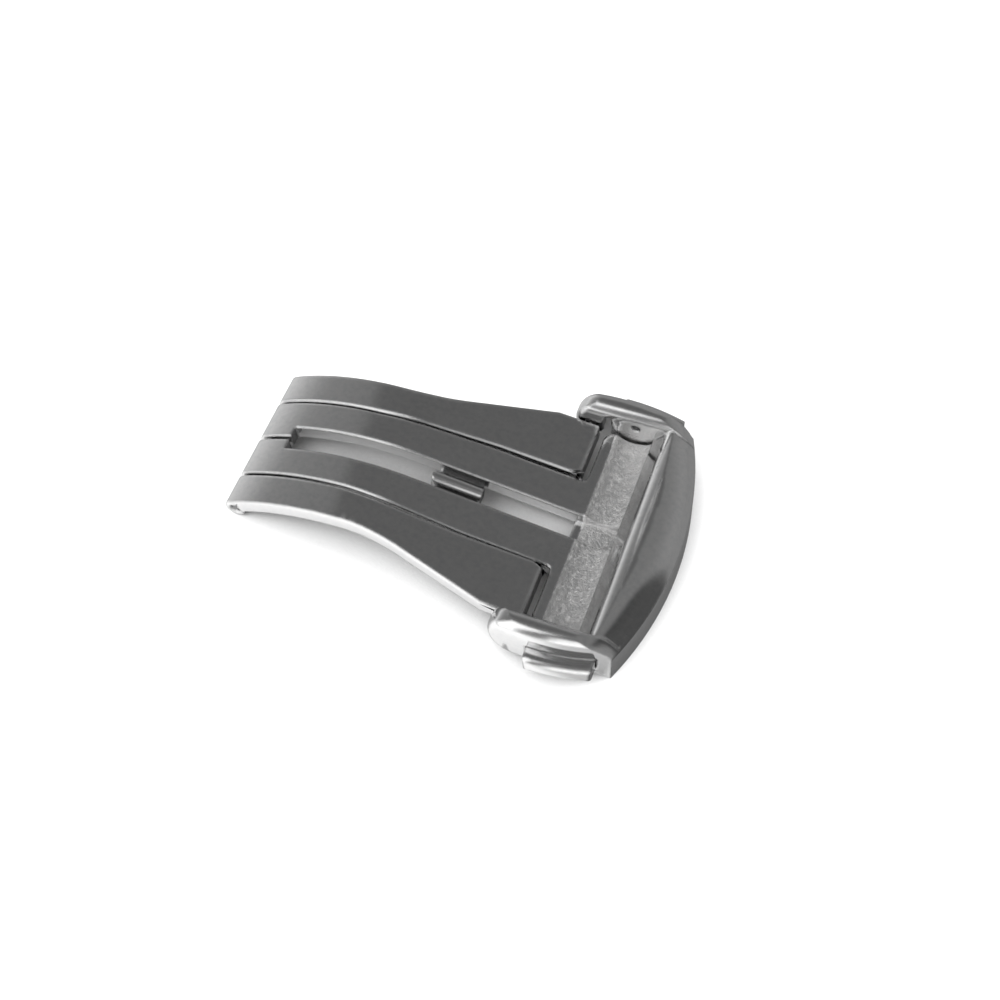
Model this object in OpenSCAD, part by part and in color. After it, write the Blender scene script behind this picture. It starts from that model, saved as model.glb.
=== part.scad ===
// Folding clasp for a watch strap, shown closed.
// X runs from the end hinge (-X) to the cover (+X), Y across the strap, Z up.
// Z = 0 is the surface that the closed clasp rests on.

/* [Overall] */
// Length from the rolled hinge end to the middle of the cover's front
clasp_len = 36.4; // [35.6:0.2:39]
// Space between the cheeks, where the strap end sits
strap_gap_w = 18.8; // [18.4:0.1:19]
// Thickness of each cheek of the cover at its widest place
cheek_t = 2; // [1.8:0.05:2.3]

/* [Strips] */
// Thickness of the arms and of the blade
strip_t = 1.4; // [1.2:0.05:1.5]
// Height of the top of the bend
crest_z = 4.65; // [4.5:0.05:4.8]
// Distance from the hinge end to the top of the bend
crest_from_end = 11.4; // [11:0.1:12]
// Slope of the arms after the bend, in degrees
arm_fall = 6.6; // [6:0.1:7]
// Slope of the blade after the bend, in degrees
blade_fall = 8.5; // [8.2:0.1:9]
// Width over both arms at the hinge end
arms_w = 13.4; // [13.1:0.1:13.8]
// Distance from the hinge end to the start of the arms' sideways sweep
sweep_from_end = 10.7; // [10.2:0.1:11.2]
// Radius of the sideways sweep of each arm
flare_r = 22; // [20:1:26]
// Slant of each arm's outer side after the sweep, in degrees
flare_angle = 14.5; // [13.5:0.5:15.5]
// Radius of the rounded inner corner at each arm's free end
arm_corner_r = 0.6; // [0.4:0.1:0.8]
// Radius of the rounded upper edge at each arm's free end
arm_edge_r = 0.25; // [0.15:0.05:0.4]
// Width of the blade at the hinge end
blade_w_end = 7.3; // [7.1:0.1:7.6]
// Width of the blade beside the arms' free ends
blade_w_mid = 8.2; // [8:0.1:8.6]
// Distance from the hinge end to where the blade starts to widen
taper_from_end = 10; // [9:0.5:11]
// Length along which the blade widens
taper_len = 10; // [9:0.5:12]
// Gap between the blade and each arm
strip_gap = 0.2; // [0.15:0.01:0.25]
// Width of the slot along the blade
slot_w = 2.1; // [1.8:0.1:2.4]
// Distance from the hinge end to the slot's closed end
slot_from_end = 3.2; // [3:0.1:4]
// Width of the slit that runs on from the slot through the hinge end
slit_w = 0.3; // [0.2:0.05:0.4]

/* [Blade head] */
// Distance from the cover's front to the head's near edge
head_len = 9; // [8.8:0.1:9.2]
// Gap between the head and each cheek
head_side_gap = 0.15; // [0.12:0.01:0.2]
// Gap between the head's round front and the inside of the front wall
head_front_gap = 0.3; // [0.2:0.05:0.5]
// Height of the head's top face
head_top_z = 2.46; // [2.4:0.02:2.6]
// Radius of the head's corners beside the cheeks
head_corner_r = 1; // [0.8:0.1:1.2]
// Radius of the inner corners between the head and the blade's stem
neck_r = 0.5; // [0.3:0.1:0.6]
// Radius of the trough that clears the strap's spring bar
trough_r = 2; // [1.8:0.1:2.2]
// Depth of the trough
trough_depth = 0.6; // [0.5:0.02:0.7]
// Depth of the groove that carries the slot on across the head
groove_depth = 0.95; // [0.8:0.05:1]
// Depth of the step at the head's two latch seats
latch_step = 0.6; // [0.55:0.01:0.65]

/* [Hinges] */
// Radius of the long pin at the hinge end
end_pin_r = 0.4; // [0.35:0.05:0.45]
// Radius of the rolled end round that pin
end_roll_r = 0.9; // [0.85:0.01:0.95]
// Depth of the pin's ends below the arms' outer sides
end_pin_inset = 0.35; // [0.2:0.05:0.5]
// Radius of the short pins in the cheeks' tips
tip_pin_r = 0.42; // [0.35:0.01:0.45]
// Radius of the barrel at each arm's free end
tip_barrel_r = 0.9; // [0.85:0.01:0.95]
// Length of each tip pin inside its arm
tip_pin_in_arm = 2.6; // [2:0.1:3]
// Length of each tip pin inside its cheek
tip_pin_in_cheek = 1.2; // [1:0.05:1.3]
// Running clearance round a pin, on the radius
pin_clear = 0.03; // [0.02:0.005:0.05]
// Distance from the cover's front to the tip hinge
tip_from_front = 10.45; // [10.4:0.05:10.6]

/* [Cover] */
// Height of the cheeks' ridges
cover_top_z = 5.1; // [5:0.05:5.2]
// How far the cover plate lies below the cheeks' ridges
plate_drop = 0.2; // [0.15:0.05:0.3]
// Length of the cover plate from its inner edge to its front
cover_len = 5.15; // [5:0.05:5.2]
// Radius of the cover's front, seen from above
front_r = 27; // [25:0.5:30]
// Height of the upright front wall
wall_top_z = 3; // [2.8:0.05:3.2]
// Distance from the front to the top of the crown
crown_run = 3.2; // [3:0.1:3.4]
// Thickness of the cover's front wall
front_wall = 1.1; // [1:0.05:1.2]
// Slope of the bevel at the plate's inner edge, in degrees
bevel_angle = 54; // [52:1:56]
// Radius of the rounding between that bevel and the crown
brow_r = 2; // [1.7:0.1:2.3]
// Gap between the blade's head and the cover plate
plate_gap = 0.12; // [0.1:0.01:0.2]
// Thickness of the cover plate's inner edge
lip_t = 0.15; // [0.1:0.05:0.3]
// Distance from the cover's front to the cheeks' tips
cheek_len = 11.8; // [11.7:0.05:11.9]
// Radius of the cheeks' round tips
cheek_tip_r = 2.3; // [2.2:0.05:2.35]
// Radius of the cheeks' rounded tops
cheek_round = 1; // [0.9:0.05:1]
// Radius of the rounded edge of each tip on its inner side
tip_edge_r = 0.45; // [0.4:0.05:0.5]
// Height of the cheeks' underside
cheek_bottom_z = 1.15; // [1.1:0.05:1.2]
// Distance from the cover's front to where the cheeks' underside meets the ground
foot_from_front = 2.4; // [2.2:0.1:2.6]
// Length of the slope from the cheeks' underside down to the ground
foot_run = 0.8; // [0.6:0.1:1]
// Radius of the cheeks' outer sides, seen from above
side_r = 17.5; // [17:0.5:20]
// Distance from the cover's front to the widest place of the cheeks
side_from_front = 8.2; // [7.8:0.1:8.6]
// Radius of the strap bar's holes
bar_hole_r = 0.4; // [0.35:0.05:0.4]
// Depth of the strap bar's holes
bar_hole_depth = 1; // [0.8:0.05:1.1]
// Height of the strap bar's axis
bar_z = 3.68; // [3.66:0.02:3.76]
// Distance from the cover plate's inner edge to the strap bar's axis
bar_from_lip = 1.5; // [1.4:0.05:1.6]

/* [Push buttons] */
// Length of a button along the cheek
button_len = 5.2; // [5:0.1:5.3]
// Height of a button
button_h = 1.6; // [1.5:0.05:1.6]
// Height of the middle of a button
button_z = 2.3; // [2.25:0.05:2.3]
// Distance from the cover's front to the middle of a button
button_from_front = 5.8; // [5.7:0.05:5.9]
// How far a button stands out of its cheek
button_proud = 1.25; // [1:0.05:1.3]
// Radius of a button's rounded outer edges
button_round = 0.55; // [0.4:0.05:0.7]
// Radius of a button's outer corners, seen from above
button_corner_r = 0.5; // [0.3:0.05:0.6]
// Travel of a button
button_travel = 0.5; // [0.4:0.05:0.6]
// Running clearance of a button in its pocket
button_clear = 0.08; // [0.06:0.01:0.1]
// Outer radius of the return spring
spring_r = 0.55; // [0.5:0.05:0.6]
// Wire radius of the return spring
spring_wire_r = 0.09; // [0.08:0.01:0.1]

/* [Guide bridge] */
// Length of the guide fin that stands in the slot
fin_len = 4.3; // [4:0.1:4.6]
// Thickness of the guide fin
fin_t = 1.2; // [1:0.1:1.4]
// Depth of the fin's ridge below the blade's top
fin_sink = 0.15; // [0.1:0.05:0.3]
// Distance from the hinge end to the fin's middle
fin_from_end = 18.1; // [17:0.1:19]
// Thickness of the bridge plate under the blade
bridge_t = 0.7; // [0.6:0.05:0.8]
// Distance that the fin reaches past the plate at each end
fin_past = 0.3; // [0.2:0.05:0.4]
// Distance from the plate's sides to the blade's sides
bridge_inset = 0.4; // [0.3:0.05:0.6]

/* [Hidden] */

$fn = 96;
over = 1;
near = -1;
far = 1;
arc_steps = 10;
sweep_steps = 30;
steel = "silver";
dark_steel = "slategray";

// Ends of the clasp
end_x = -clasp_len / 2;
front_x = clasp_len / 2;
tall = cover_top_z + 4 * over;

// End hinge and the bend that leads up from it, a touch outside the rolled end
roll_sink = 0.02;
roll_top_r = end_roll_r + roll_sink;
end_pin_x = end_x + end_roll_r;
end_pin_z = end_roll_r;
crest_x = end_x + crest_from_end;
bend_run = crest_x - end_pin_x;
bend_rise = crest_z - roll_top_r - end_pin_z;
pin_path_r = (bend_run * bend_run + bend_rise * bend_rise) / (2 * bend_rise);
bend_r = pin_path_r + roll_top_r;
bend_z = crest_z - bend_r;
bend_angle = asin(bend_run / pin_path_r);

// The straight run starts this far under the bend's face, so that the two cross
run_sink = 0.004;

// Where a strip's top face runs straight at a slope
function run_x(fall) = crest_x + (bend_r - run_sink) * sin(fall);
function run_z(fall) = bend_z + (bend_r - run_sink) * cos(fall);
function strip_top_z(x, fall) = run_z(fall) - (x - run_x(fall)) * tan(fall);

// Points along an arc round a center, from one angle to another
function arc(center, r, from, to, steps = arc_steps) =
    [for (i = [0 : steps]) let (a = from + (to - from) * i / steps)
        center + r * [cos(a), sin(a)]];

// A row of points, and the same row mirrored in the X axis back to its start
function both_sides(points) =
    concat(points, [for (i = [len(points) - 1 : -1 : 0]) [points[i][0], -points[i][1]]]);

// Tip hinge between the arms and the cheeks
tip_x = front_x - tip_from_front;
tip_z = strip_top_z(tip_x, arm_fall) - tip_barrel_r / cos(arm_fall);

// Cheeks
cheek_in_y = strap_gap_w / 2;
cheek_out_y = cheek_in_y + cheek_t;
round_z = cover_top_z - cheek_round;
nose_x = front_x - cheek_len + cheek_tip_r;
nose_z = cover_top_z - cheek_tip_r;
side_x = front_x - side_from_front;
side_y = cheek_out_y - side_r;

// Blade head
head_x = front_x - head_len;
head_y = cheek_in_y - head_side_gap;
head_bottom_z = head_top_z - strip_t;
head_front_r = front_r - front_wall - head_front_gap;
head_bend_x = run_x(blade_fall) + (run_z(blade_fall) - head_top_z) / tan(blade_fall);

// Cover plate, and the foot where each cheek comes down to the front wall
front_mid_x = front_x - front_r;
lip_x = front_x - cover_len;
foot_x = front_x - foot_from_front;
plate_z = head_top_z + plate_gap;
trough_x = lip_x - bar_from_lip;
trough_z = head_top_z - trough_depth + trough_r;

// Arms' free ends
arm_in_y = blade_w_mid / 2 + strip_gap;
barrel_y = cheek_in_y - head_side_gap;
arm_end_gap = 0.05;

// Blade plan
taper_start_x = end_x + taper_from_end;
taper_end_x = taper_start_x + taper_len;
slot_past_head = 0.2;

// Buttons and their pockets
button_x = front_x - button_from_front;
pocket_wall = 0.4;
pocket_floor_y = cheek_in_y + pocket_wall;
press_gap = 0.25;
button_in_y = pocket_floor_y + button_travel + press_gap;
button_out_r = side_r + button_proud;

// Latch hooks
hook_len = 1.2;
hook_gap = 0.15;
hook_swing_gap = 0.3;
hook_clear = 0.1;
hook_from_lip = 1.2;
hook_x = lip_x + hook_from_lip;
hook_bar_t = 0.45;
hook_bar_z = head_top_z - latch_step + hook_clear;
hook_leg_t = 0.45;
hook_leg_inset = 1.25;
hook_leg_y = head_y - hook_leg_inset;
hook_foot_t = 0.4;
hook_foot_z = head_bottom_z - hook_foot_t - hook_clear;
hook_foot_reach = 0.25;
collar_t = 0.25;
collar_gap = 0.05;
collar_wide = hook_len + 2 * collar_t;

// Return springs
spring_from_button = 1;
spring_x = button_x - spring_from_button;
spring_cup = 0.75;
spring_turns = 4.5;
spring_steps = 12;
spring_sides = 6;

module steel_color() {
    color(steel) children();
}

module dark_steel_color() {
    color(dark_steel) children();
}

// Solid between two heights of Y, from a side view drawn in X and Z
module across(y0, y1) {
    translate([0, y1, 0]) rotate([90, 0, 0]) linear_extrude(height = y1 - y0) children();
}

// Solid with a plan drawn in X and Y, tall enough to cut any piece
module upright() {
    translate([0, 0, -over]) linear_extrude(height = tall + over) children();
}

// Block under a bent face of radius r that runs on through the given points
module under_bend(half_w, r, fall, points) {
    last = points[len(points) - 1];
    foot = r - run_sink;
    across(-half_w, half_w) translate([crest_x, bend_z]) circle(r = r, $fn = 240);
    across(-half_w, half_w)
        polygon(concat([[crest_x, -over], [crest_x + foot * sin(fall), bend_z + foot * cos(fall)]],
                       points, [[last[0], -over]]));
}

// Bent strip between its top face and its bottom face, with its rolled end
module strip(half_w, fall, top_points, bottom_points) {
    reach = 2 * clasp_len;
    intersection() {
        difference() {
            under_bend(half_w, bend_r, fall, top_points);
            under_bend(half_w + over, bend_r - strip_t, fall, bottom_points);
        }
        // Cut off square at the end hinge
        across(-half_w, half_w)
            polygon([[crest_x, bend_z],
                     [crest_x - reach * sin(bend_angle), bend_z + reach * cos(bend_angle)],
                     [crest_x + reach, bend_z + reach],
                     [crest_x + reach, bend_z]]);
        // Nothing reaches below the surface that the clasp rests on
        across(-half_w, half_w) translate([end_x - over, 0]) square([clasp_len + 2 * over, tall]);
    }
    across(-half_w, half_w) translate([end_pin_x, end_pin_z]) circle(r = end_roll_r);
}

module arm_strip() {
    past_x = tip_x + 2 * over;
    edge_x = tip_x + tip_barrel_r - arm_edge_r;
    edge_z = strip_top_z(edge_x, arm_fall) - arm_edge_r / cos(arm_fall);
    strip(cheek_out_y, arm_fall,
          arc([edge_x, edge_z], arm_edge_r, 90 - arm_fall, 0),
          [[past_x, strip_top_z(past_x, arm_fall) - strip_t / cos(arm_fall)]]);
}

module blade_strip() {
    drop = strip_t * tan(blade_fall / 2);
    strip(head_y + over, blade_fall,
          [[head_bend_x, head_top_z], [front_x, head_top_z]],
          [[head_bend_x - drop, head_bottom_z], [front_x + over, head_bottom_z]]);
}

// Plan of the far arm, from the blade's side to the outer side that sweeps out to the cheek
module far_arm_plan() {
    in_end_y = blade_w_end / 2 + strip_gap;
    sweep_x = end_x + sweep_from_end;
    sweep_mid = [sweep_x, arms_w / 2 + flare_r];
    arc_end = sweep_mid + flare_r * [sin(flare_angle), -cos(flare_angle)];
    stop_x = tip_x + tip_barrel_r + arm_end_gap;
    flare_y = arc_end[1] + (stop_x - arc_end[0]) * tan(flare_angle);
    corner = [stop_x - arm_corner_r, arm_in_y + arm_corner_r];
    polygon(concat([[end_x - over, in_end_y], [taper_start_x, in_end_y], [taper_end_x, arm_in_y]],
                   arc(corner, arm_corner_r, -90, 0),
                   [[stop_x, flare_y]],
                   arc(sweep_mid, flare_r, flare_angle - 90, -90, sweep_steps),
                   [[end_x - over, arms_w / 2]]));
}

// The arm on the far side of the blade
module arm_solid() {
    difference() {
        intersection() {
            union() {
                arm_strip();
                across(0, cheek_out_y) translate([tip_x, tip_z])
                    circle(r = tip_barrel_r - roll_sink);
            }
            upright() far_arm_plan();
            // Flat beside the cheek, which the cheek's tip turns past
            across(0, barrel_y) translate([end_x - over, -over]) square([clasp_len, tall]);
        }
        // End hinge hole, right through
        across(-over, cheek_out_y) translate([end_pin_x, end_pin_z]) circle(r = end_pin_r);
        // Tip pin hole, blind from the outer side
        across(barrel_y - tip_pin_in_arm, cheek_out_y)
            translate([tip_x, tip_z]) circle(r = tip_pin_r);
    }
}

module near_arm() {
    steel_color() mirror([0, 1, 0]) arm_solid();
}

module far_arm() {
    steel_color() arm_solid();
}

// Plan of the blade: a tapered stem that ends in a wide head with a round front
module blade_plan() {
    front_turn = asin(head_y / head_front_r);
    half_mid = blade_w_mid / 2;
    polygon(both_sides(concat(
        [[end_x - over, blade_w_end / 2], [taper_start_x, blade_w_end / 2], [taper_end_x, half_mid]],
        arc([head_x - neck_r, half_mid + neck_r], neck_r, -90, 0),
        arc([head_x + head_corner_r, head_y - head_corner_r], head_corner_r, 180, 90),
        arc([front_mid_x, 0], head_front_r, front_turn, 0))));
}

module center_blade() {
    slot_x = end_x + slot_from_end;
    slot_end_x = head_x + slot_past_head;
    steel_color() difference() {
        intersection() {
            blade_strip();
            upright() blade_plan();
        }
        // Slot, the groove that carries it on across the head, and the slit at the hinge
        translate([slot_x, -slot_w / 2, -over]) cube([slot_end_x - slot_x, slot_w, tall]);
        translate([slot_end_x - over, -slot_w / 2, head_top_z - groove_depth])
            cube([head_len, slot_w, tall]);
        translate([end_x - over, -slit_w / 2, -over])
            cube([slot_from_end + 2 * over, slit_w, tall]);
        across(-head_y - over, head_y + over) translate([end_pin_x, end_pin_z])
            circle(r = end_pin_r + pin_clear);
        across(-head_y - over, head_y + over) translate([trough_x, trough_z]) circle(r = trough_r);
        // Steps and holes that take the two latch hooks
        for (side = [near, far]) {
            latch_seat(side);
        }
    }
}

// Cut in the blade's head for one latch hook
module latch_seat(side) {
    seat_len = collar_wide + 2 * hook_gap;
    hole_in = hook_leg_y - hook_leg_t - button_travel - hook_clear;
    hole_out = hook_leg_y + hook_foot_reach + hook_clear;
    seat_in = hole_in - hook_clear;
    translate([hook_x - seat_len / 2, side > 0 ? seat_in : -head_y - over, head_top_z - latch_step])
        cube([seat_len, head_y + over - seat_in, tall]);
    translate([hook_x - hook_len / 2 - hook_gap, side > 0 ? hole_in : -hole_out, -over])
        cube([hook_len + hook_gap + hook_swing_gap, hole_out - hole_in, tall]);
}

// Bridge across the underside of the blade, with a round-topped fin that stands in the slot
module guide_bridge() {
    fin_x = end_x + fin_from_end;
    plate_len = fin_len - 2 * fin_past;
    fin_r = fin_t / 2;
    fin_h = strip_t + bridge_t / 2;
    side_gap = 0.01;
    half_w = blade_w_mid / 2 - bridge_inset;
    dark_steel_color() translate([fin_x, 0, strip_top_z(fin_x, blade_fall)])
        rotate([0, blade_fall, 0]) {
            translate([-plate_len / 2, -half_w, -strip_t - bridge_t])
                cube([plate_len, 2 * half_w, bridge_t]);
            intersection() {
                translate([-fin_len / 2, 0, -fin_sink - fin_r]) rotate([90, 0, 90])
                    linear_extrude(height = fin_len)
                        polygon(concat(arc([0, 0], fin_r, 0, 180),
                                       [[-fin_r, fin_r - fin_h], [fin_r, fin_r - fin_h]]));
                // Rounded end towards the hinge
                translate([0, 0, -tall]) linear_extrude(height = 2 * tall)
                    polygon(concat(arc([fin_r - fin_len / 2, 0], fin_r + side_gap, 90, 270),
                                   [[fin_len, -fin_r - side_gap], [fin_len, fin_r + side_gap]]));
            }
        }
}

module end_hinge_pin() {
    half = arms_w / 2 - end_pin_inset;
    dark_steel_color() across(-half, half) translate([end_pin_x, end_pin_z]) circle(r = end_pin_r);
}

module tip_pin_solid() {
    across(barrel_y - tip_pin_in_arm, cheek_in_y + tip_pin_in_cheek)
        translate([tip_x, tip_z]) circle(r = tip_pin_r);
}

module near_tip_pin() {
    dark_steel_color() mirror([0, 1, 0]) tip_pin_solid();
}

module far_tip_pin() {
    dark_steel_color() tip_pin_solid();
}

// Body turned about the middle of the cover's round front, with a crown that ends at top_z
module crown_body(top_z) {
    rise = top_z - wall_top_z;
    crown_r = (crown_run * crown_run + rise * rise) / (2 * rise);
    wall_turn = asin(1 - rise / crown_r);
    translate([front_mid_x, 0, 0]) rotate_extrude($fn = 360)
        polygon(concat([[over, -over]],
                       [[front_r + over, -over]],
                       [[front_r + over, wall_top_z - over]],
                       arc([front_r - crown_run, top_z - crown_r], crown_r, wall_turn / 2, 90),
                       [[over, top_z]]));
}

// Body turned about the middle of the far cheek's outer side, with a rounded top edge
module side_body() {
    translate([side_x, side_y, 0]) rotate_extrude($fn = 360)
        polygon(concat([[over, -over], [side_r, -over]],
                       arc([side_r - cheek_round, round_z], cheek_round, 0, 90),
                       [[over, cover_top_z]]));
}

// Round tip of the far cheek: a wheel about Y whose rim is rounded on both sides
module nose_wheel() {
    in_r = cheek_tip_r - tip_edge_r;
    out_r = cheek_tip_r - cheek_round;
    translate([nose_x, 0, nose_z]) rotate([-90, 0, 0]) rotate_extrude()
        polygon(concat([[0, cheek_in_y], [in_r, cheek_in_y]],
                       arc([in_r, cheek_in_y + tip_edge_r], tip_edge_r, -90, 0),
                       arc([out_r, cheek_out_y - cheek_round], cheek_round, 0, 90),
                       [[0, cheek_out_y]]));
}

// Bar along the far cheek, rounded at its upper inner edge
module inner_round() {
    translate([tip_x - cheek_len, 0, 0]) rotate([90, 0, 90]) linear_extrude(height = 2 * cheek_len)
        polygon(concat([[cheek_out_y + over, 0], [cheek_out_y + over, cover_top_z + over]],
                       [[cheek_in_y + cheek_round, cover_top_z + over]],
                       arc([cheek_in_y + cheek_round, round_z], cheek_round, 90, 180),
                       [[cheek_in_y, 0]]));
}

// The far cheek: tip, ridge and the foot that comes down to the front wall
module far_cheek() {
    intersection() {
        union() {
            nose_wheel();
            across(cheek_in_y, cheek_out_y + over) translate([nose_x, 0]) square([clasp_len, tall]);
        }
        // Underside, level along the cheek and down to the ground at the front wall
        across(cheek_in_y - over, cheek_out_y + 2 * over)
            polygon([[end_x, cheek_bottom_z],
                     [foot_x - foot_run, cheek_bottom_z],
                     [foot_x, 0],
                     [front_x, 0],
                     [front_x, tall],
                     [end_x, tall]]);
        inner_round();
        side_body();
        crown_body(cover_top_z);
    }
}

// Plate between the cheeks: an inner bevel, a crown and the front wall round the hollow
module cover_plate() {
    plate_top_z = cover_top_z - plate_drop;
    brow_z = plate_top_z - brow_r;
    bevel_rise = brow_z + brow_r * cos(bevel_angle) - plate_z - lip_t;
    brow_x = lip_x + bevel_rise / tan(bevel_angle) + brow_r * sin(bevel_angle);
    brow_end = 80;
    out_y = cheek_in_y + cheek_t / 2;
    difference() {
        intersection() {
            across(-out_y, out_y)
                polygon(concat([[lip_x, 0], [lip_x, plate_z + lip_t]],
                               arc([brow_x, brow_z], brow_r, 90 + bevel_angle, brow_end),
                               [[front_x, cover_top_z], [front_x, 0]]));
            crown_body(plate_top_z);
        }
        intersection() {
            across(-cheek_in_y, cheek_in_y)
                translate([lip_x - over, -over]) square([cover_len, plate_z + over]);
            translate([front_mid_x, 0, -over]) cylinder(r = front_r - front_wall, h = tall, $fn = 360);
        }
    }
}

module cover_frame() {
    steel_color() difference() {
        intersection() {
            union() {
                cover_plate();
                far_cheek();
                mirror([0, 1, 0]) far_cheek();
            }
            translate([front_mid_x, 0, -over]) cylinder(r = front_r, h = tall, $fn = 360);
        }
        for (side = [near, far]) {
            mirror([0, side < 0 ? 1 : 0, 0]) cheek_cuts();
        }
    }
}

// Bores and pockets in the far cheek
module cheek_cuts() {
    window_len = hook_len + 2 * button_clear;
    window_h = hook_bar_t + 2 * button_clear;
    pocket_len = button_len + 2 * button_clear;
    pocket_h = button_h + 2 * button_clear;
    across(cheek_in_y - over, cheek_in_y + tip_pin_in_cheek + button_clear)
        translate([tip_x, tip_z]) circle(r = tip_pin_r + pin_clear);
    across(cheek_in_y - over, cheek_in_y + bar_hole_depth)
        translate([trough_x, bar_z]) circle(r = bar_hole_r);
    translate([button_x - pocket_len / 2, pocket_floor_y, button_z - pocket_h / 2])
        cube([pocket_len, cheek_out_y, pocket_h]);
    translate([hook_x - window_len / 2, cheek_in_y - over, hook_bar_z - button_clear])
        cube([window_len, over + cheek_t / 2, window_h]);
}

// Middle of a button's corner that touches its curved outer side, at a place along X
function corner_mid(x) =
    let (r = button_out_r - button_corner_r)
    [x, side_y + sqrt(r * r - (x - side_x) * (x - side_x))];
function side_turn(p) = atan2(p[1] - side_y, p[0] - side_x);
function side_point(r, turn) = [side_x, side_y] + r * [cos(turn), sin(turn)];

// Plan of the far button, with two rounded outer corners
module button_plan() {
    x0 = button_x - button_len / 2;
    x1 = button_x + button_len / 2;
    front_mid = corner_mid(x1 - button_corner_r);
    back_mid = corner_mid(x0 + button_corner_r);
    polygon(concat([[x0, button_in_y], [x1, button_in_y]],
                   arc(front_mid, button_corner_r, 0, side_turn(front_mid)),
                   [side_point(button_out_r + over, side_turn(front_mid)),
                    side_point(button_out_r + over, side_turn(back_mid))],
                   arc(back_mid, button_corner_r, side_turn(back_mid), 180)));
}

// Button head that follows the cheek's side, with the cup that holds its spring
module button_solid() {
    difference() {
        intersection() {
            translate([side_x, side_y, button_z]) rotate_extrude($fn = 360)
                polygon(concat([[over, -button_h / 2]],
                               arc([button_out_r - button_round, button_round - button_h / 2],
                                   button_round, -90, 0),
                               arc([button_out_r - button_round, button_h / 2 - button_round],
                                   button_round, 0, 90),
                               [[over, button_h / 2]]));
            upright() button_plan();
        }
        across(button_in_y - over, button_in_y + spring_cup)
            translate([spring_x, button_z]) circle(r = spring_r + button_clear);
    }
}

module near_button() {
    steel_color() mirror([0, 1, 0]) button_solid();
}

module far_button() {
    steel_color() button_solid();
}

// Latch hook: a bar from the button, a collar, a leg through the head and its foot
module hook_solid() {
    x0 = hook_x - hook_len / 2;
    leg_in = hook_leg_y - hook_leg_t;
    leg_h = hook_bar_z - hook_foot_z + hook_bar_t;
    translate([x0, leg_in, hook_bar_z]) cube([hook_len, button_in_y - leg_in, hook_bar_t]);
    translate([hook_x - collar_wide / 2, cheek_in_y - collar_gap - collar_t, hook_bar_z])
        cube([collar_wide, collar_t, hook_bar_t]);
    translate([x0, leg_in, hook_foot_z]) cube([hook_len, hook_leg_t, leg_h]);
    translate([x0, leg_in, hook_foot_z]) cube([hook_len, hook_leg_t + hook_foot_reach, hook_foot_t]);
}

module near_latch_hook() {
    dark_steel_color() mirror([0, 1, 0]) hook_solid();
}

module far_latch_hook() {
    dark_steel_color() hook_solid();
}

// Point on the coil's center line, t from 0 to 1
function coil_point(t, y0, y1) =
    let (a = 360 * spring_turns * t, r = spring_r - spring_wire_r)
    [spring_x + r * cos(a), y0 + (y1 - y0) * t, button_z + r * sin(a)];

// Round wire swept along the coil
module spring_solid() {
    y0 = pocket_floor_y + spring_wire_r;
    y1 = button_in_y + spring_cup - spring_wire_r;
    rings = floor(spring_turns * spring_steps);
    points = [for (i = [0 : rings], j = [0 : spring_sides - 1])
        let (t = i / rings, a = 360 * spring_turns * t, b = 360 * j / spring_sides,
             out = [cos(a), 0, sin(a)])
        coil_point(t, y0, y1) + spring_wire_r * (cos(b) * out + sin(b) * [0, 1, 0])];
    sides = [for (i = [0 : rings - 1], j = [0 : spring_sides - 1])
        let (k = (j + 1) % spring_sides, a = i * spring_sides, b = a + spring_sides)
        each [[a + j, a + k, b + k], [a + j, b + k, b + j]]];
    first = [for (j = [spring_sides - 1 : -1 : 0]) j];
    last = [for (j = [0 : spring_sides - 1]) rings * spring_sides + j];
    polyhedron(points, concat(sides, [first, last]));
}

module near_button_spring() {
    dark_steel_color() mirror([0, 1, 0]) spring_solid();
}

module far_button_spring() {
    dark_steel_color() spring_solid();
}

cover_frame();
near_arm();
far_arm();
center_blade();
guide_bridge();
end_hinge_pin();
near_tip_pin();
far_tip_pin();
near_button();
far_button();
near_latch_hook();
far_latch_hook();
near_button_spring();
far_button_spring();
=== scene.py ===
"""Looks of a folding watch-strap clasp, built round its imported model."""
import math

import bpy
import numpy as np
from mathutils import Matrix, Vector


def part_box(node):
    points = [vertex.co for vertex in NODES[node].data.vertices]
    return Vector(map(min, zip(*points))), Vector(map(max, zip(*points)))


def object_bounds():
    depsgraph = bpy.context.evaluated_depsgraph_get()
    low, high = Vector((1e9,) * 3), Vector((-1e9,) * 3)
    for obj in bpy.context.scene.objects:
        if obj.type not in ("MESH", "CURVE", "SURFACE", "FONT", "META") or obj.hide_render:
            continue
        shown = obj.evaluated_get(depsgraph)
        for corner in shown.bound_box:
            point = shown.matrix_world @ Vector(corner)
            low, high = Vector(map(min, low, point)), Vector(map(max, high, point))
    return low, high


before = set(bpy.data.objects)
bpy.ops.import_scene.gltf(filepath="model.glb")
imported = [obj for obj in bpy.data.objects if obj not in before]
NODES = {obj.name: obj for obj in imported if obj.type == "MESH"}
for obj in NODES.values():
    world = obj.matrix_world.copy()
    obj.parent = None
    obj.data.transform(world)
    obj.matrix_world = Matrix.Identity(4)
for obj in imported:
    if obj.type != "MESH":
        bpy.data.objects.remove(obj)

CAD_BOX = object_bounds()

# Camera at the photograph's place, worked out from the clasp's mirror symmetry: metres, radians,
# then millimetres for the lens and the sensor
CAMERA_AT = Vector((0.02967, -0.05544, 0.10323))
CAMERA_AZIMUTH = math.radians(28.12)
CAMERA_ELEVATION = math.radians(58.68)
CAMERA_ROLL = math.radians(-7.81)
CAMERA_LENS = 53.48
CAMERA_SENSOR = 36.0
CAMERA_SHIFT = (0.0370, 0.0080)
CAMERA_NEAREST = 0.005

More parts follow.
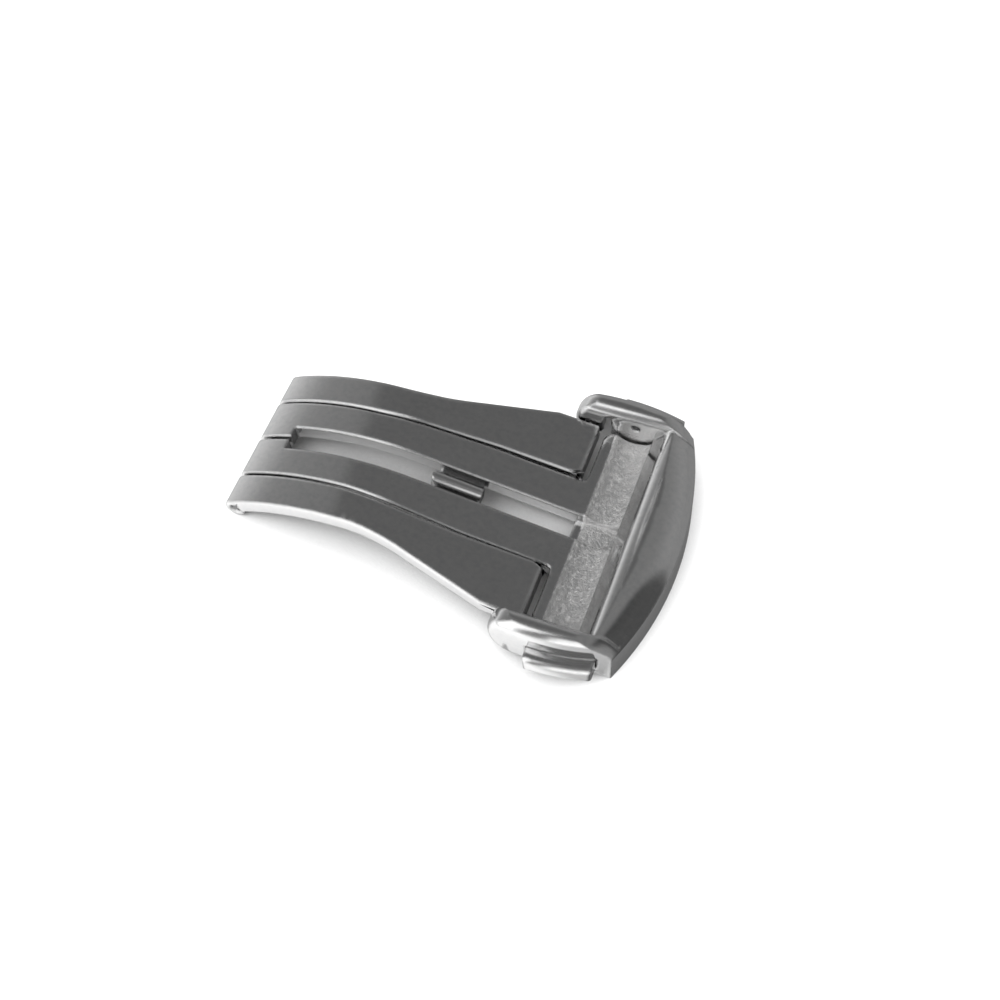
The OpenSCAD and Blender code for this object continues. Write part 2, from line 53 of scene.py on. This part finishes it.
# What the steel mirrors, as the two sides of each thing: compass angles, in radians from +X
# towards +Y. They were fitted to the tones that the photograph shows.
RIGHT_SIDE = (math.radians(-26), math.radians(122))
DARK_CARD = (math.radians(0), math.radians(21))
BACK_PANEL = (math.radians(74), math.radians(135))
FRONT_LIGHT = (math.radians(-93), math.radians(-56))
EDGE_LIGHT = (math.radians(-165), math.radians(-107))
NEAR_FLOOR = (math.radians(-104), math.radians(-84))

# Brightness in the studio that the steel mirrors, where 1 is the picture's white
SKY_LEVEL = 0.34
SKY_FALL = 0.10
LOW_GLOW = 1.2
PANEL_DROP = 0.09
FRONT_LEVEL = 1.2
EDGE_LEVEL = 1.5
CARD_SHARE = 0.72

# Brightness of the tent that lights everything else, and of the floor
TENT_LIGHT = 1.4
FLOOR_LEVEL = 0.9
FLOOR_REACH = 0.6

# Shares of painted shade in the floor's colour: for mirrored rays near, on the right side and at the
# dark card, and for the eye under the clasp, where less than half of the sky within UNDER_REACH is
# open
NEAR_PAINTED_SHADE = 0.50
RIGHT_PAINTED_SHADE = 0.80
CARD_PAINTED_SHADE = 0.14
UNDER_PAINTED_SHADE = 0.62
UNDER_REACH = 0.012

# Lamps, aimed at the middle of the frame: name, place, width and height in metres, and watts
LAMPS = [("key", (-0.10, -0.16, 0.30), (0.22, 0.16), 0.55),
         ("side", (0.28, 0.05, 0.14), (0.12, 0.20), 0.22)]

# Rounding of the edges in the mesh, in metres, for each group of pieces
ARM_ROUND = 0.00020
BLADE_ROUND = 0.00012
COVER_ROUND = 0.00012
BUTTON_ROUND = 0.00025
FIN_ROUND = 0.00004
ROUND_ANGLE = math.radians(28)
ROUND_STEPS = 3
WELD_GAP = 0.000024

# Wider rounding of the same edges in the shading alone, in metres
STRIP_SOFT = 0.00036
COVER_SOFT = 0.00030
SOFT_SAMPLES = 4

# Height in metres that the brush marks, the polish's swell and the sand-blasting stand for
BRUSH_DEPTH = 0.000012
SWELL_DEPTH = 0.0002
GRIT_DEPTH = 0.00012

# Bend of the strips: distance from their hinge end to its top, radius and slope after it
CREST_FROM_END = 0.0114
BEND_RADIUS = 0.0218
ARM_FALL = math.radians(6.6)
BLADE_FALL = math.radians(8.5)

# Distances from the cover's front to the two sides of the sand-blasted trough
TROUGH_START = 0.00815
TROUGH_END = 0.00515


class Value:
    """A shader socket that can be used in plain sums, such as 1 - mask * 0.5."""

    def __init__(self, tree, socket):
        self.tree = tree
        self.socket = socket

    def _sum(self, operation, *terms):
        node = self.tree.nodes.new("ShaderNodeMath")
        node.operation = operation
        for slot, term in zip(node.inputs, terms):
            if isinstance(term, Value):
                self.tree.links.new(term.socket, slot)
            else:
                slot.default_value = term
        return Value(self.tree, node.outputs[0])

    def __add__(self, other):
        return self._sum("ADD", self, other)

    def __radd__(self, other):
        return self._sum("ADD", other, self)

    def __sub__(self, other):
        return self._sum("SUBTRACT", self, other)

    def __rsub__(self, other):
        return self._sum("SUBTRACT", other, self)

    def __mul__(self, other):
        return self._sum("MULTIPLY", self, other)

    def __rmul__(self, other):
        return self._sum("MULTIPLY", other, self)

    def __truediv__(self, other):
        return self._sum("DIVIDE", self, other)

    def at_most(self, limit):
        """The value, or the limit where that is less."""
        return self._sum("MINIMUM", self, limit)

    def clamped(self):
        """The value held between 0 and 1."""
        return self._sum("MAXIMUM", self.at_most(1.0), 0.0)

    def root(self):
        """Square root of the value."""
        return self._sum("SQRT", self)

    def turn(self, along):
        """Angle whose tangent is this value over along."""
        return self._sum("ARCTAN2", self, along)

    def step(self, low, high):
        """0 below low, 1 above high, and a smooth rise between."""
        t = ((self - low) / (high - low)).clamped()
        return t * t * (3.0 - 2.0 * t)

    def band(self, rise, fall):
        """1 between two values and 0 outside them; rise and fall are where the two steps run."""
        return self.step(*rise) * (1.0 - self.step(*fall))


class Shader:
    """Node tree of a material or a world, with one method that makes any node."""

    def __init__(self, owner):
        owner.use_nodes = True
        self.tree = owner.node_tree
        self.tree.nodes.clear()

    def node(self, kind, settings=None, values=None, out=0):
        """A node of this type, with its settings first and then its sockets' values or links."""
        made = self.tree.nodes.new(kind)
        for name, setting in (settings or {}).items():
            setattr(made, name, setting)
        for name, value in (values or {}).items():
            slot = made.inputs[name]
            if isinstance(value, Value):
                self.tree.links.new(value.socket, slot)
            else:
                slot.default_value = value
        return Value(self.tree, made.outputs[out])

    def axis(self, name):
        """One of the object coordinates, in metres."""
        at = self.node("ShaderNodeTexCoord", out="Object")
        return self.node("ShaderNodeSeparateXYZ", values={"Vector": at}, out=name)

    def noise(self, scale, detail=4.0, rough=0.55, seed=0.0):
        """Noise from 0 to 1; scale is the number of blotches per metre along each axis."""
        at = self.node("ShaderNodeMapping", values={
            "Vector": self.node("ShaderNodeTexCoord", out="Object"),
            "Scale": scale, "Location": (seed, seed * 1.7, seed * 0.6)})
        return self.node("ShaderNodeTexNoise", values={
            "Vector": at, "Scale": 1.0, "Detail": detail, "Roughness": rough})

    def heading(self, direction, sign=1.0):
        """Compass angle of a direction about Z, in radians from +X towards +Y."""
        x = self.node("ShaderNodeSeparateXYZ", values={"Vector": direction}, out="X")
        y = self.node("ShaderNodeSeparateXYZ", values={"Vector": direction}, out="Y")
        return (y * sign).turn(x * sign)

    def mix(self, share, a, b):
        """Colour a where share is 0, and colour b where it is 1."""
        return self.node("ShaderNodeMix", {"data_type": "RGBA"},
                         {0: share, 6: a, 7: b}, out=2)

    def bump(self, height, distance, strength, under):
        """Normal from a height from 0 to 1 that stands for distance metres, laid over another."""
        values = {"Height": height, "Distance": distance, "Strength": strength}
        if under:
            values["Normal"] = under
        return self.node("ShaderNodeBump", values=values)

    def bent_normal(self, crest_x, fall, normal):
        """Exact normal of a bent strip's top, and the given normal where that is far from it.

        The top is an arc of BEND_RADIUS about a line along Y, and then a straight slope. So its
        normal leans along X by the distance from the arc's top over the radius, up to the slope.
        """
        own = self.node("ShaderNodeVectorTransform",
                        {"vector_type": "NORMAL", "convert_from": "WORLD", "convert_to": "OBJECT"},
                        {"Vector": normal})
        across = self.node("ShaderNodeSeparateXYZ", values={"Vector": own}, out="Y")
        along = self.node("ShaderNodeSeparateXYZ", values={"Vector": own}, out="X")
        up = self.node("ShaderNodeSeparateXYZ", values={"Vector": own}, out="Z")
        lean = ((self.axis("X") - crest_x) / BEND_RADIUS).at_most(math.sin(fall))
        rise = (1.0 - lean * lean).root()
        exact = self.node("ShaderNodeCombineXYZ", values={"X": lean, "Z": rise})
        off = across * across + (along - lean) * (along - lean) + (up - rise) * (up - rise)
        share = 1.0 - off.step(0.004, 0.02)
        mixed = self.node("ShaderNodeMix", {"data_type": "VECTOR"},
                          {0: share, 4: own, 5: exact}, out=1)
        return self.node("ShaderNodeVectorTransform",
                         {"vector_type": "NORMAL", "convert_from": "OBJECT", "convert_to": "WORLD"},
                         {"Vector": mixed})

    def output(self, surface, kind="ShaderNodeOutputMaterial"):
        """Links the surface to the material's or the world's output."""
        self.tree.links.new(surface.socket, self.tree.nodes.new(kind).inputs["Surface"])


def grey(level, warm=0.0):
    """A grey with a slight warm or cool cast."""
    return (level * (1 + warm), level, level * (1 - warm), 1.0)


def steel(name, level, rough, brushing, waviness=0.0, blasted=None, along=(1.0, 40.0, 40.0),
          soft_edge=0.0, bend=None):
    """Stainless steel: brushing is the strength of the brush marks, waviness that of the polish.

    along stretches the brush marks: a low number is the way that they run.
    blasted gives (start, end) in metres along X where the surface is sand-blasted instead.
    soft_edge is the radius, in metres, that the polish gives to every edge.
    bend gives the place along X of the top of a strip's bend, and its slope after that.
    """
    material = bpy.data.materials.new(name)
    sh = Shader(material)
    grain = sh.noise(tuple(420.0 * a for a in along), detail=6.0, rough=0.7)
    smudge = sh.noise((420.0, 560.0, 420.0), detail=3.0, seed=4.0)
    wear = sh.noise((1900.0, 2300.0, 1900.0), detail=5.0, rough=0.65, seed=9.0)
    gloss = rough + (smudge - 0.5) * 0.10 + (grain - 0.5) * 0.10
    colour = sh.mix(wear.step(0.35, 0.75), grey(level, 0.004), grey(level * 0.93, -0.006))
    metallic = 1.0
    normal = None
    if soft_edge:
        normal = sh.node("ShaderNodeBevel", {"samples": SOFT_SAMPLES}, {"Radius": soft_edge})
    if bend:
        normal = sh.bent_normal(*bend, normal)
    normal = sh.bump(grain, BRUSH_DEPTH, brushing, normal)
    if waviness:
        swell = sh.noise((230.0, 260.0, 230.0), detail=1.5, seed=2.0)
        normal = sh.bump(swell, SWELL_DEPTH, waviness, normal)
    if blasted:
        start, end = blasted
        x = sh.axis("X")
        inside = x.band((start - 0.0001, start + 0.0002), (end, end + 0.0001))
        grit = sh.noise((5200.0, 5200.0, 5200.0), detail=3.0, rough=0.6, seed=5.0)
        patch = sh.noise((2400.0, 2400.0, 2400.0), detail=5.0, rough=0.75, seed=7.0)
        gloss = gloss * (1.0 - inside) + inside * (0.40 + (patch - 0.5) * 0.3)
        colour = sh.mix(inside * patch.step(0.3, 0.7), colour, grey(level * 1.10, 0.008))
        normal = sh.bump(grit * inside, GRIT_DEPTH, 1.0, normal)
        metallic = 1.0 - inside * (0.05 + patch.step(0.45, 0.70) * 0.30)
    sh.output(sh.node("ShaderNodeBsdfPrincipled", values={
        "Base Color": colour, "Metallic": metallic, "Roughness": gloss.clamped(),
        "Normal": normal}))
    return material


def right_side(heading):
    """1 for directions towards the darker right side of the studio, 0 for the rest; on the floor it
    places painted shade.
    """
    low, high = RIGHT_SIDE
    return heading.band((low - 0.15, low), (high - 0.15, high + 0.15))


def dark_card(heading):
    """1 for directions towards the dark card that stands past the cover's front; on the floor it
    places painted shade.
    """
    low, high = DARK_CARD
    return heading.band((low - 0.06, low + 0.03), (high - 0.03, high + 0.06))


def floor_with_painted_shade():
    """White floor that keeps the clasp's shadow, with painted shade under the clasp and in the
    steel's reflections of the floor.
    """
    material = bpy.data.materials.new("floor")
    sh = Shader(material)
    back = sh.node("ShaderNodeNewGeometry", out="Incoming")
    heading = sh.heading(back, -1.0)
    mirrored = sh.node("ShaderNodeLightPath", out="Is Glossy Ray")
    # Painted shade seen only in the steel: for mirrored rays the floor's colour darkens by the way
    # the ray travels
    right = right_side(heading)
    near = heading.step(*NEAR_FLOOR) * (1.0 - right) * NEAR_PAINTED_SHADE
    shade = near + right * RIGHT_PAINTED_SHADE + dark_card(heading) * CARD_PAINTED_SHADE
    shade = mirrored * shade.clamped()
    # Painted shade for the eye: the floor's colour darkens where the clasp hides most of the sky
    # within UNDER_REACH
    open_sky = sh.node("ShaderNodeAmbientOcclusion", {"samples": SOFT_SAMPLES},
                       {"Distance": UNDER_REACH}, out="AO")
    under = (1.0 - open_sky.step(0.10, 0.50)) * (1.0 - mirrored) * UNDER_PAINTED_SHADE
    sh.output(sh.node("ShaderNodeBsdfDiffuse", values={
        "Color": sh.mix((shade + under).clamped(), grey(FLOOR_LEVEL), grey(0.0))}))
    return material


def studio_world():
    """White light tent, and the darker studio that the polished steel mirrors."""
    world = bpy.data.worlds.new("studio")
    bpy.context.scene.world = world
    sh = Shader(world)
    at = sh.node("ShaderNodeTexCoord", out="Generated")
    heading = sh.heading(at)
    height = sh.node("ShaderNodeSeparateXYZ", values={"Vector": at}, out="Z")
    sky = SKY_LEVEL - height.step(0.2, 0.85) * SKY_FALL
    glow = (1.0 - height.step(-0.35, 0.45)) * (1.0 - right_side(heading)) * LOW_GLOW
    low, high = BACK_PANEL
    panel = heading.band((low - 0.12, low), (high - 0.01, high + 0.02))
    panel = panel * height.step(0.50, 0.62) * PANEL_DROP
    low, high = FRONT_LIGHT
    front = heading.band((low - 0.05, low + 0.05), (high - 0.05, high + 0.05))
    front = front * height.band((0.02, 0.10), (0.70, 0.80)) * FRONT_LEVEL
    low, high = EDGE_LIGHT
    edge = heading.band((low - 0.1, low + 0.1), (high - 0.05, high + 0.05))
    edge = edge * height.band((0.02, 0.20), (0.94, 0.98)) * EDGE_LEVEL
    card = dark_card(heading) * (1.0 - height.step(0.62, 0.76))
    studio = (sky + glow + front + edge - panel) * (1.0 - card * CARD_SHARE)
    mirrored = sh.node("ShaderNodeLightPath", out="Is Glossy Ray")
    light = mirrored * studio + (1.0 - mirrored) * TENT_LIGHT
    sh.output(sh.node("ShaderNodeBackground", values={"Color": light}), "ShaderNodeOutputWorld")


def soft_box(name, at, size, power):
    """Rectangular area lamp aimed at the middle of the frame, which the steel doesn't mirror."""
    data = bpy.data.lights.new(name, "AREA")
    data.shape = "RECTANGLE"
    data.size, data.size_y = size
    data.energy = power
    lamp = bpy.data.objects.new(name, data)
    lamp.location = at
    lamp.rotation_euler = (-Vector(at)).to_track_quat("-Z", "Y").to_euler()
    lamp.visible_glossy = False
    bpy.context.scene.collection.objects.link(lamp)


def camera():
    """Camera at the photograph's place, angle, roll and framing."""
    cos_el = math.cos(CAMERA_ELEVATION)
    forward = Vector((-math.sin(CAMERA_AZIMUTH) * cos_el,
                      math.cos(CAMERA_AZIMUTH) * cos_el,
                      -math.sin(CAMERA_ELEVATION)))
    level = Vector((math.cos(CAMERA_AZIMUTH), math.sin(CAMERA_AZIMUTH), 0.0))
    upright = level.cross(forward)
    right = level * math.cos(CAMERA_ROLL) + upright * math.sin(CAMERA_ROLL)
    up = right.cross(forward)
    turn = Matrix((right, up, -forward)).transposed().to_4x4()
    data = bpy.data.cameras.new("camera")
    data.lens = CAMERA_LENS
    data.sensor_width = CAMERA_SENSOR
    data.sensor_fit = "HORIZONTAL"
    data.shift_x, data.shift_y = CAMERA_SHIFT
    data.clip_start = CAMERA_NEAREST
    made = bpy.data.objects.new("camera", data)
    made.matrix_world = Matrix.Translation(CAMERA_AT) @ turn
    bpy.context.scene.collection.objects.link(made)
    bpy.context.scene.camera = made


def floor():
    """Flat floor under the clasp, its far edges beyond the view."""
    grid = np.array([(-1, -1), (1, -1), (1, 1), (-1, 1)]) * FLOOR_REACH
    corners = np.column_stack([grid, np.full(4, CAD_BOX[0][2])])
    mesh = bpy.data.meshes.new("floor")
    mesh.from_pydata(corners.tolist(), [], [(0, 1, 2, 3)])
    made = bpy.data.objects.new("floor", mesh)
    mesh.materials.append(floor_with_painted_shade())
    bpy.context.scene.collection.objects.link(made)


def dress(names, material, edge, even=False):
    """Gives CAD pieces their finish and rounds their edges by this radius.

    even keeps the radius where edges are short too, which only the strips can take.
    """
    for name in names:
        piece = NODES[name]
        piece.data.materials.clear()
        piece.data.materials.append(material)
        weld = piece.modifiers.new("join", "WELD")
        weld.merge_threshold = WELD_GAP
        bevel = piece.modifiers.new("edges", "BEVEL")
        bevel.width = edge
        bevel.segments = ROUND_STEPS
        bevel.limit_method = "ANGLE"
        bevel.angle_limit = ROUND_ANGLE
        bevel.use_clamp_overlap = not even
        bevel.miter_outer = "MITER_ARC"
        bevel.harden_normals = False
        smooth = piece.modifiers.new("shading", "WEIGHTED_NORMAL")
        smooth.keep_sharp = False
        smooth.weight = 80


def clasp():
    """Finishes every CAD piece; the small inner ones get a finish alone."""
    front_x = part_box("cover_frame")[1].x
    crest_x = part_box("near_arm")[0].x + CREST_FROM_END
    strip = steel("brushed_strip", 0.62, 0.12, brushing=0.12, waviness=0.02,
                  soft_edge=STRIP_SOFT, bend=(crest_x, ARM_FALL))
    blade = steel("blade_steel", 0.62, 0.14, brushing=0.12, waviness=0.02,
                  soft_edge=STRIP_SOFT, bend=(crest_x, BLADE_FALL),
                  blasted=(front_x - TROUGH_START, front_x - TROUGH_END))
    cover = steel("polished_cover", 0.64, 0.12, brushing=0.10, waviness=0.05, along=(1.0, 6.0, 6.0),
                  soft_edge=COVER_SOFT)
    button = steel("polished_button", 0.64, 0.14, brushing=0.12, waviness=0.03, along=(1.0, 8.0, 8.0),
                   soft_edge=COVER_SOFT)
    pin = steel("turned_pin", 0.50, 0.30, brushing=0.2, along=(20.0, 20.0, 20.0))
    dress(["near_arm", "far_arm"], strip, ARM_ROUND, even=True)
    dress(["center_blade"], blade, BLADE_ROUND, even=True)
    dress(["guide_bridge"], cover, FIN_ROUND)
    dress(["cover_frame"], cover, COVER_ROUND)
    dress(["near_button", "far_button"], button, BUTTON_ROUND)
    small = ["end_hinge_pin", "near_tip_pin", "far_tip_pin", "near_latch_hook", "far_latch_hook",
             "near_button_spring", "far_button_spring"]
    for name in small:
        NODES[name].data.materials.clear()
        NODES[name].data.materials.append(pin)


camera()
studio_world()
floor()
for lamp_values in LAMPS:
    soft_box(*lamp_values)
clasp()

bpy.context.scene.view_settings.view_transform = "Standard"
